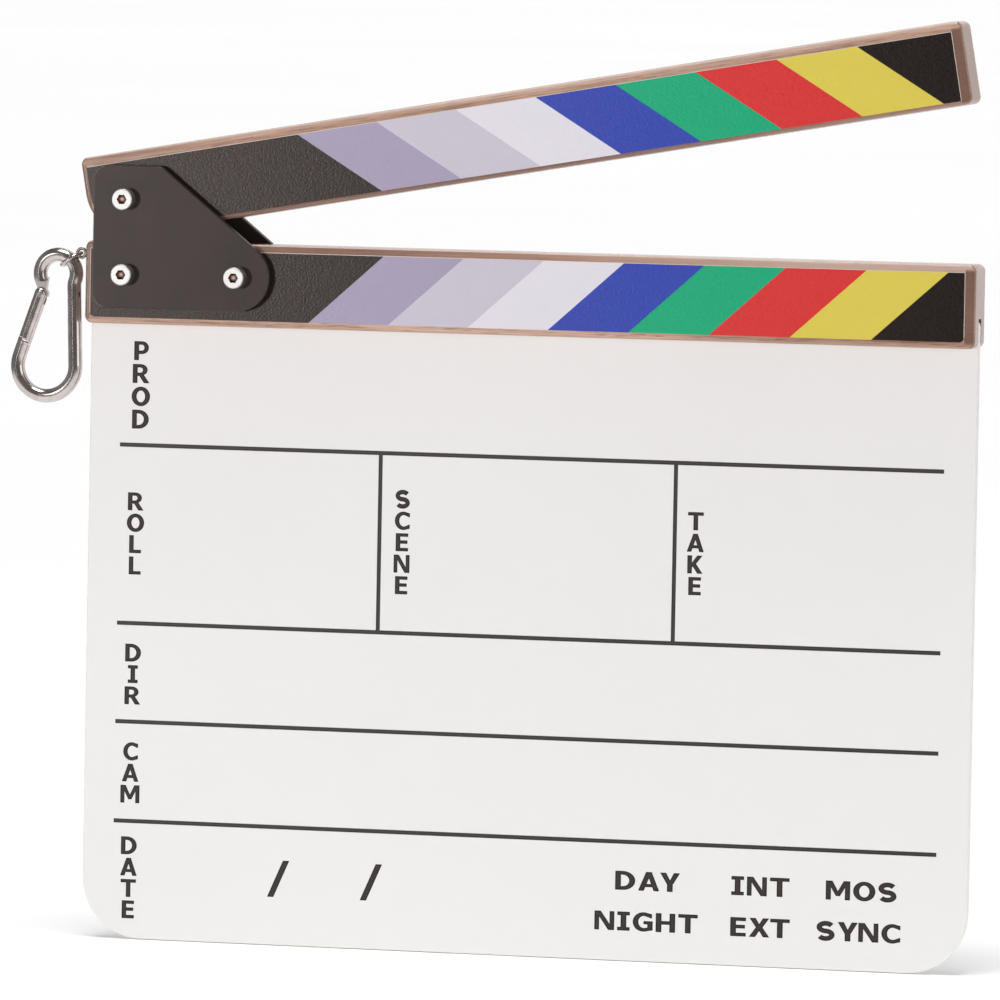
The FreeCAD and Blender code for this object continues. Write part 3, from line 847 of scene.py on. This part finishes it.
def dress_nodes():
    """Materials of the solids."""
    lower, upper = film_places()
    lower_wood = wood("lower_wood", lower, LOWER_END_GRAIN, LOWER_TOP_LIGHT_AND_SHADE, LOWER_TOP_SHARES)
    upper_wood = wood("upper_wood", upper, UPPER_END_GRAIN_SHADED, UPPER_TOP_LIGHT_AND_SHADE, UPPER_TOP_SHARES, UPPER_FOOT_SHADE)
    steel = turned_steel()
    plated = plated_steel("plated_steel", srgb(186, 176, 172), srgb(209, 200, 196))
    # The screw eye's plating is a darker copy of the same plating: a painted shade
    shaded_plating = plated_steel("plating_painted_shade", srgb(116, 107, 103), srgb(142, 133, 128))
    front_plate = black_plate("front_plate_black", srgb(41, 33, 30), srgb(47, 38, 35), 1.0)
    # The rear plate's black is painted lighter than the front's, painted light that stands in for light lost in
    # the front plate's shadow, and it takes little chamfer highlight
    rear_plate_lightened = black_plate("rear_plate_black_painted_light", srgb(58, 50, 46), srgb(64, 56, 52), 0.2)
    paint_nodes(white_acrylic(), "slate_board")
    paint_nodes(lower_wood, "lower_stick")
    paint_nodes(upper_wood, "upper_stick")
    paint_nodes(stripe_film("lower_film", lower, LOWER_STRIPES, True), "lower_stripe_label")
    paint_nodes(stripe_film("upper_film", upper, UPPER_STRIPES, False), "upper_stripe_label")
    paint_nodes(front_plate, "front_hinge_plate")
    paint_nodes(rear_plate_lightened, "rear_hinge_plate")
    paint_nodes(plated, *HOOK_NODES)
    paint_nodes(shaded_plating, "screw_eye")
    paint_nodes(steel, "gate_rivet", *SCREW_NODES, *NUT_NODES)
    paint_nodes(spring_steel(), "gate_plunger", "gate_spring")


def add_spring():
    """Coil spring of the gate, a copy with its own mesh that rides with the gate."""
    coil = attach(add("coil_spring", frame["nodes"]["gate_spring"].data.copy()), "gate")
    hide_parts("gate_spring")
    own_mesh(coil)


def aim(piece, place, target):
    """Turns a camera or light at a place towards a target, with its top up."""
    piece.rotation_mode = "QUATERNION"
    piece.rotation_quaternion = (Vector(target) - Vector(place)).to_track_quat("-Z", "Y")


def add_camera():
    """Long lens, right of the board's middle and a little above it."""
    data = bpy.data.cameras.new("camera")
    data.sensor_width = SENSOR_WIDTH
    data.lens = CAMERA_FOCUS * data.sensor_width
    data.clip_end = CAMERA_REACH
    camera = add("camera", data, CAMERA_PLACE)
    aim(camera, CAMERA_PLACE, CAMERA_TARGET)
    camera.rotation_quaternion @= Quaternion(UP, math.radians(CAMERA_ROLL))
    bpy.context.scene.camera = camera


def add_floor():
    """Wide floor just below the part, which polished pieces don't mirror."""
    level = cad_box[0].z - FLOOR_GAP
    corners = [(x * FLOOR_REACH, y * FLOOR_REACH, level) for x, y in ((-1, -1), (1, -1), (1, 1), (-1, 1))]
    mesh = bpy.data.meshes.new("floor")
    mesh.from_pydata(corners, [], [(0, 1, 2, 3)])
    mesh.materials.append(pale_floor())
    floor = add("floor", mesh)
    floor.visible_glossy = False


def add_lights():
    """Key light from the left, soft fills, and a wide sun from above."""
    lights = {}
    for name, place, side, power in LIGHTS:
        data = bpy.data.lights.new(name, "AREA")
        data.shape = "RECTANGLE"
        data.size, data.size_y = side, side
        data.energy = power
        lights[name] = add(name, data, place)
        aim(lights[name], place, LIGHT_TARGET)
    data = bpy.data.lights.new("top", "SUN")
    data.energy = SUN_POWER
    data.angle = math.radians(SUN_WIDTH)
    lights["top"] = add("top", data, SUN_PLACE)
    lights["top"].rotation_euler.x = math.radians(SUN_TILT)
    for light_name, nodes, state in LIGHT_LINKS:
        receivers = bpy.data.collections.new(light_name + "_receivers")
        lights[light_name].light_linking.receiver_collection = receivers
        for name in nodes:
            receivers.objects.link(frame["nodes"][name])
        for entry in receivers.collection_objects:
            entry.light_linking.link_state = state


def add_world():
    """Surroundings that show the brightest of the glows in each direction."""
    world = bpy.data.worlds.new("studio")
    bpy.context.scene.world = world
    world.use_nodes = True
    nodes, links = world.node_tree.nodes, world.node_tree.links
    outward = nodes.new("ShaderNodeTexCoord").outputs["Generated"]
    brightest = None
    for direction, shares, levels in GLOWS:
        toward = nodes.new("ShaderNodeVectorMath")
        toward.operation = "DOT_PRODUCT"
        links.new(outward, toward.inputs[0])
        toward.inputs[1].default_value = direction
        glow = nodes.new("ShaderNodeMapRange")
        for socket, value in zip(glow.inputs[1:5], shares + levels):
            socket.default_value = value
        links.new(toward.outputs["Value"], glow.inputs["Value"])
        if brightest is None:
            brightest = glow.outputs["Result"]
            continue
        brighter = nodes.new("ShaderNodeMath")
        brighter.operation = "MAXIMUM"
        links.new(brightest, brighter.inputs[0])
        links.new(glow.outputs["Result"], brighter.inputs[1])
        brightest = brighter.outputs[0]
    links.new(brightest, nodes["Background"].inputs["Color"])


dress_nodes()
add_spring()
add_legends()
add_camera()
add_floor()
add_lights()
add_world()
bpy.context.scene.view_settings.view_transform = "Standard"
